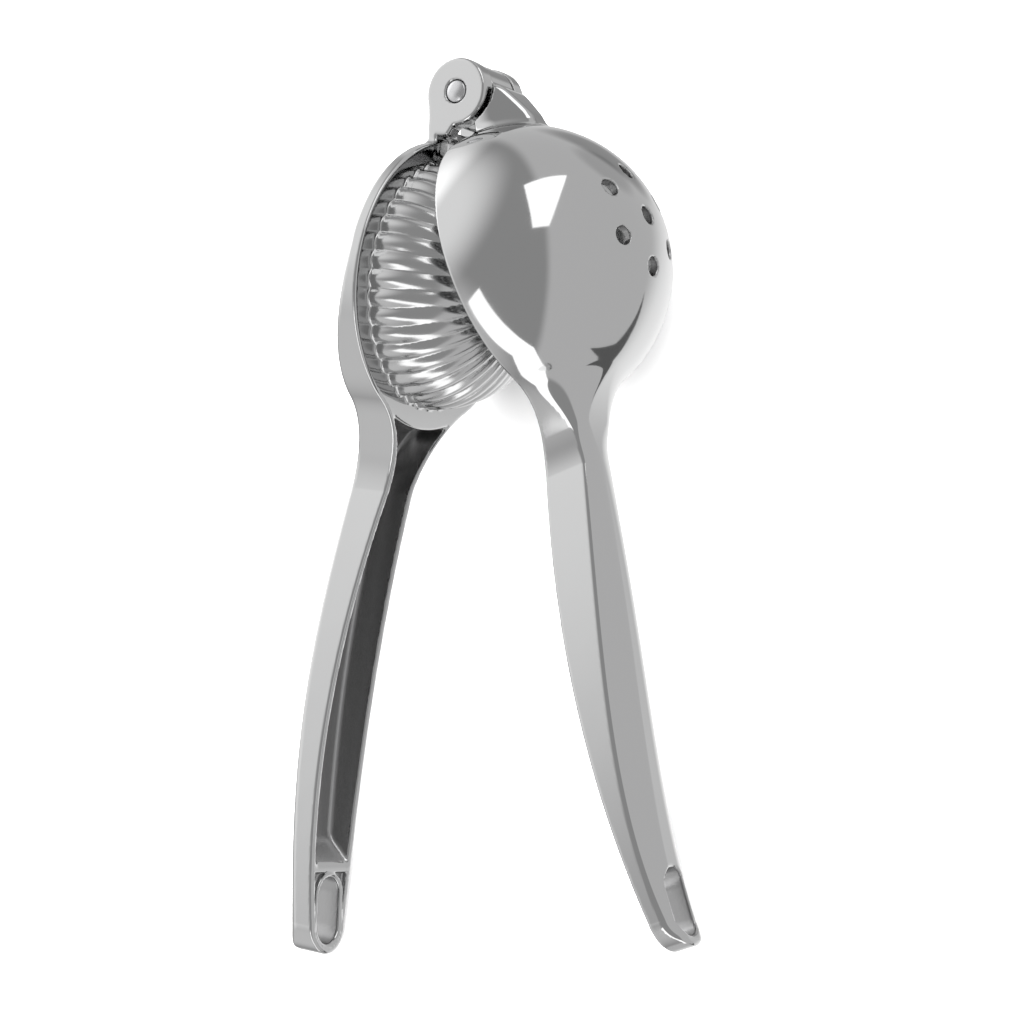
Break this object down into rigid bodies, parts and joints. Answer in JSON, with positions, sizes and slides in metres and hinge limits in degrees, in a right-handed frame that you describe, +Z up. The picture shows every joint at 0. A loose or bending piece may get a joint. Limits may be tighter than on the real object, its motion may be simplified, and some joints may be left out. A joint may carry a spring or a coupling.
{
  "type": "citrus squeezer",
  "caption": "Hand-held lever citrus squeezer: a fluted plunger arm and a perforated round cup arm on a hinge pin, with channelled handles and hang eyes.",
  "frame": {"origin": "centre of the overall box in X and Y, at table height", "axes": "+Z up from the table it lies on; +Y from the handle ends toward the hinge; +X toward the cup arm"},
  "size_m": [0.1118, 0.215, 0.0706],
  "materials": {
    "chrome_plate": "polished bright plating over a die casting",
    "pin_steel": "polished steel, slightly duller than the plating"
  },
  "bodies": {
    "cup_arm": {"cup_arm": "chrome_plate"},
    "plunger_arm": {"plunger_arm": "chrome_plate", "hinge_pin": "pin_steel"}
  },
  "joints": [
    {"name": "hinge", "type": "hinge", "parent": "cup_arm", "child": "plunger_arm", "pos_m": [0.00949, 0.09775, 0.04357], "axis": [0, 0.1812, -0.9835], "range_deg": [-26, 150]}
  ]
}
